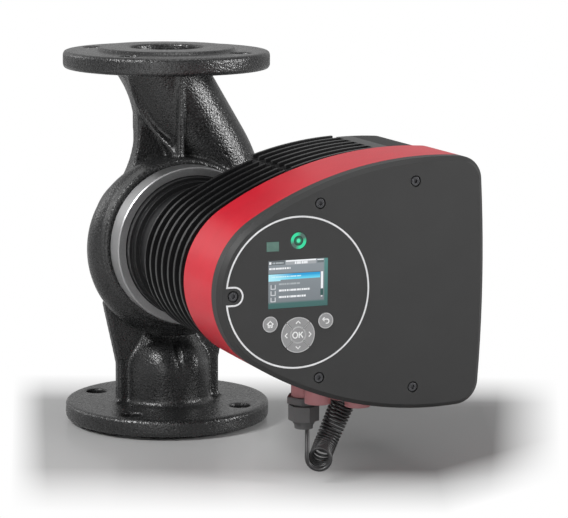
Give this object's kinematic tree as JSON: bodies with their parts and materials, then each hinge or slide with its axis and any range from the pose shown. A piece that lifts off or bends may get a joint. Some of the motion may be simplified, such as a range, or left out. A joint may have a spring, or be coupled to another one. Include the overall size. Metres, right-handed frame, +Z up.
{
  "type": "circulator pump",
  "caption": "In-line flanged circulator pump with a finned canned motor, a red-banded control head with a display and keys, and a coiled signal cord.",
  "frame": {"origin": "centre of the lower flange's sealing face", "axes": "+Z up the pipe from the suction flange to the discharge flange, -Y out of the control panel, +X to the panel's right"},
  "size_m": [0.2565, 0.4049, 0.34],
  "materials": {
    "cast_iron": "dark grey cataphoretic paint over a sand-cast skin",
    "stainless": "machined and pressed stainless steel",
    "clamp_steel": "bright stainless band",
    "carbon": "ground carbon and ceramic bearing faces",
    "magnet": "coated sintered magnets",
    "lamination": "stacked electrical steel",
    "copper": "enamelled copper wire",
    "motor_paint": "die-cast aluminium with satin black paint",
    "black_plastic": "fine-grained moulding",
    "red_plastic": "satin red moulding",
    "cover_plastic": "fine-grained dark grey moulding",
    "rubber": "moulded elastomer",
    "screw_steel": "blackened steel",
    "silver_line": "satin inlay",
    "display_pane": "clear pane over a colour display",
    "display_frame": "display housing",
    "status_lens": "lit translucent lens",
    "signal_lens": "tinted infrared window",
    "key_plastic": "satin grey keys with pale marks",
    "circuit_board": "coated glass-fibre board",
    "capacitor_can": "sleeved aluminium cans",
    "terminal_plastic": "moulded terminals",
    "gland_plastic": "dark grey nylon",
    "cord_jacket": "dark grey cord jacket"
  },
  "bodies": {
    "pump_body": {"pump_housing": "cast_iron", "neck_ring": "stainless", "clamp_band": "clamp_steel", "clamp_screw": "clamp_steel", "clamp_nut": "clamp_steel"},
    "head": {"housing_o_ring": "rubber", "bearing_plate": "stainless", "rotor_can": "stainless", "front_bearing": "carbon", "rear_bearing": "carbon", "stator_core": "lamination", "stator_windings": "copper", "stator_housing": "motor_paint", "end_shield": "black_plastic", "heat_sink": "motor_paint", "end_cover": "black_plastic", "box_housing": "red_plastic", "front_cover": "cover_plastic", "cover_gasket": "rubber", "rear_gasket": "rubber", "cover_screws": "screw_steel", "box_screws": "screw_steel", "panel_ring": "silver_line", "display_window": "display_pane", "display_module": "display_frame", "status_light": "status_lens", "signal_window": "signal_lens", "control_board": "circuit_board", "power_board": "circuit_board", "capacitors": "capacitor_can", "terminal_blocks": "terminal_plastic", "gland_body": "gland_plastic", "gland_nut": "gland_plastic", "gland_seal": "rubber", "blanking_plugs": "red_plastic", "coil_fitting": "red_plastic", "gland_cord": "cord_jacket", "curly_cord": "cord_jacket"},
    "rotor": {"shaft": "stainless", "rotor_core": "lamination", "rotor_magnets": "magnet", "rotor_sleeve": "stainless", "impeller": "stainless", "impeller_nut": "stainless", "thrust_bearing": "carbon"},
    "home_key": {"home_button": "key_plastic"},
    "back_key": {"back_button": "key_plastic"},
    "ok_key": {"ok_button": "key_plastic"},
    "up_key": {"up_button": "key_plastic"},
    "down_key": {"down_button": "key_plastic"},
    "left_key": {"left_button": "key_plastic"},
    "right_key": {"right_button": "key_plastic"}
  },
  "joints": [
    {"name": "head_turn", "type": "hinge", "parent": "pump_body", "child": "head", "pos_m": [0, -0.061, 0.17], "axis": [0, 1, 0], "range_deg": [-90, 90]},
    {"name": "rotor_spin", "type": "hinge", "parent": "head", "child": "rotor", "pos_m": [0, -0.1, 0.17], "axis": [0, 1, 0], "continuous": true},
    {"name": "home_press", "type": "slide", "parent": "head", "child": "home_key", "axis": [0, 1, 0], "range_m": [0, 0.0006], "stiffness_N_per_m": 900},
    {"name": "back_press", "type": "slide", "parent": "head", "child": "back_key", "axis": [0, 1, 0], "range_m": [0, 0.0006], "stiffness_N_per_m": 900},
    {"name": "ok_press", "type": "slide", "parent": "head", "child": "ok_key", "axis": [0, 1, 0], "range_m": [0, 0.0006], "stiffness_N_per_m": 900},
    {"name": "up_press", "type": "slide", "parent": "head", "child": "up_key", "axis": [0, 1, 0], "range_m": [0, 0.0006], "stiffness_N_per_m": 900},
    {"name": "down_press", "type": "slide", "parent": "head", "child": "down_key", "axis": [0, 1, 0], "range_m": [0, 0.0006], "stiffness_N_per_m": 900},
    {"name": "left_press", "type": "slide", "parent": "head", "child": "left_key", "axis": [0, 1, 0], "range_m": [0, 0.0006], "stiffness_N_per_m": 900},
    {"name": "right_press", "type": "slide", "parent": "head", "child": "right_key", "axis": [0, 1, 0], "range_m": [0, 0.0006], "stiffness_N_per_m": 900}
  ]
}
